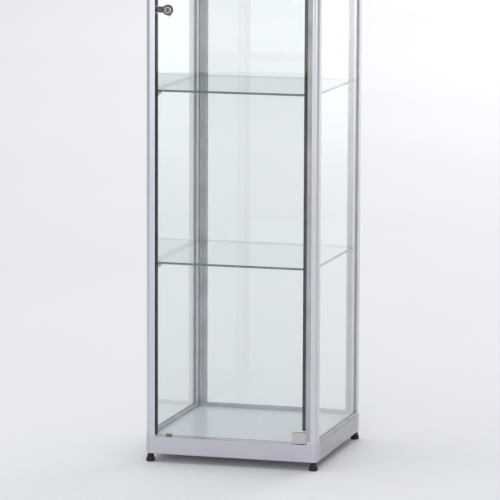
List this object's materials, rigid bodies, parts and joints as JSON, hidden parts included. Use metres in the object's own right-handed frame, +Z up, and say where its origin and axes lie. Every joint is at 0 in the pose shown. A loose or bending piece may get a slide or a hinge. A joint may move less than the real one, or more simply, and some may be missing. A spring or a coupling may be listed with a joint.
{
  "type": "glass display case",
  "caption": "Tall square glass display tower with a rounded aluminium frame, a lockable pivot-hung glass door, adjustable glass shelves and levelling feet.",
  "frame": {"origin": "on the floor, under the middle of the case", "axes": "+Z up, the glass door faces -Y, +X is to the right as one looks at the door"},
  "size_m": [0.4, 0.4, 2.019],
  "materials": {
    "frame_aluminium": "satin",
    "post_aluminium": "satin",
    "board_silver": "satin",
    "pane_glass": "gloss",
    "shelf_glass": "gloss",
    "clip_clear": "gloss",
    "glazing_grey": "matte",
    "seal_black": "matte",
    "stop_beige": "satin",
    "hinge_nickel": "satin",
    "pad_clear": "matte",
    "lock_dark": "polished",
    "lock_chrome": "polished",
    "keeper_black": "satin",
    "bright_steel": "satin",
    "foot_black": "matte"
  },
  "bodies": {
    "frame": {"base_rail_front": "frame_aluminium", "base_rail_rear": "frame_aluminium", "base_rail_left": "frame_aluminium", "base_rail_right": "frame_aluminium", "base_corners": "frame_aluminium", "floor_panel": "board_silver", "post_front_left": "post_aluminium", "post_front_right": "post_aluminium", "post_rear_left": "post_aluminium", "post_rear_right": "post_aluminium", "top_rail_front": "frame_aluminium", "top_rail_rear": "frame_aluminium", "top_rail_left": "frame_aluminium", "top_rail_right": "frame_aluminium", "top_corners": "frame_aluminium", "top_panel": "board_silver", "frame_screws": "bright_steel", "glass_left": "pane_glass", "glass_right": "pane_glass", "glass_rear": "pane_glass", "glazing_left": "glazing_grey", "glazing_right": "glazing_grey", "glazing_rear": "glazing_grey", "door_seal_lock_side": "seal_black", "door_seal_hinge_side": "seal_black", "hinge_side_strip": "glazing_grey", "door_stop": "stop_beige", "hinge_bushes": "foot_black", "lock_keeper": "keeper_black", "foot_nuts": "foot_black"},
    "door": {"door_glass": "pane_glass", "hinge_clamp_lower": "hinge_nickel", "hinge_clamp_upper": "hinge_nickel", "hinge_back_lower": "hinge_nickel", "hinge_back_upper": "hinge_nickel", "hinge_pads": "pad_clear", "hinge_screws": "bright_steel", "hinge_pins": "bright_steel", "lock_body": "lock_dark", "lock_ring": "lock_chrome", "lock_nut": "bright_steel"},
    "lock_cam_body": {"lock_plug": "lock_chrome", "lock_cam": "bright_steel", "lock_cam_screw": "bright_steel"},
    "shelf_1_set": {"shelf_1": "shelf_glass", "shelf_clips_1": "clip_clear"},
    "shelf_2_set": {"shelf_2": "shelf_glass", "shelf_clips_2": "clip_clear"},
    "shelf_3_set": {"shelf_3": "shelf_glass", "shelf_clips_3": "clip_clear"},
    "shelf_4_set": {"shelf_4": "shelf_glass", "shelf_clips_4": "clip_clear"},
    "foot_fl": {"foot_pad_fl": "foot_black", "foot_stud_fl": "bright_steel"},
    "foot_fr": {"foot_pad_fr": "foot_black", "foot_stud_fr": "bright_steel"},
    "foot_rl": {"foot_pad_rl": "foot_black", "foot_stud_rl": "bright_steel"},
    "foot_rr": {"foot_pad_rr": "foot_black", "foot_stud_rr": "bright_steel"}
  },
  "joints": [
    {"name": "door_hinge", "type": "hinge", "parent": "frame", "child": "door", "pos_m": [0.164, -0.192, 1.019], "axis": [0, 0, 1], "range_deg": [0, 110]},
    {"name": "lock_turn", "type": "hinge", "parent": "door", "child": "lock_cam_body", "pos_m": [-0.148, -0.192, 1.021], "axis": [0, 1, 0], "range_deg": [0, 90]},
    {"name": "shelf_1_height", "type": "slide", "parent": "frame", "child": "shelf_1_set", "axis": [0, 0, 1], "range_m": [-0.15, 0.15]},
    {"name": "shelf_2_height", "type": "slide", "parent": "frame", "child": "shelf_2_set", "axis": [0, 0, 1], "range_m": [-0.15, 0.15]},
    {"name": "shelf_3_height", "type": "slide", "parent": "frame", "child": "shelf_3_set", "axis": [0, 0, 1], "range_m": [-0.15, 0.15]},
    {"name": "shelf_4_height", "type": "slide", "parent": "frame", "child": "shelf_4_set", "axis": [0, 0, 1], "range_m": [-0.15, 0.15]},
    {"name": "foot_fl_screw", "type": "slide", "parent": "frame", "child": "foot_fl", "axis": [0, 0, -1], "range_m": [0, 0.012]},
    {"name": "foot_fr_screw", "type": "slide", "parent": "frame", "child": "foot_fr", "axis": [0, 0, -1], "range_m": [0, 0.012]},
    {"name": "foot_rl_screw", "type": "slide", "parent": "frame", "child": "foot_rl", "axis": [0, 0, -1], "range_m": [0, 0.012]},
    {"name": "foot_rr_screw", "type": "slide", "parent": "frame", "child": "foot_rr", "axis": [0, 0, -1], "range_m": [0, 0.012]}
  ]
}
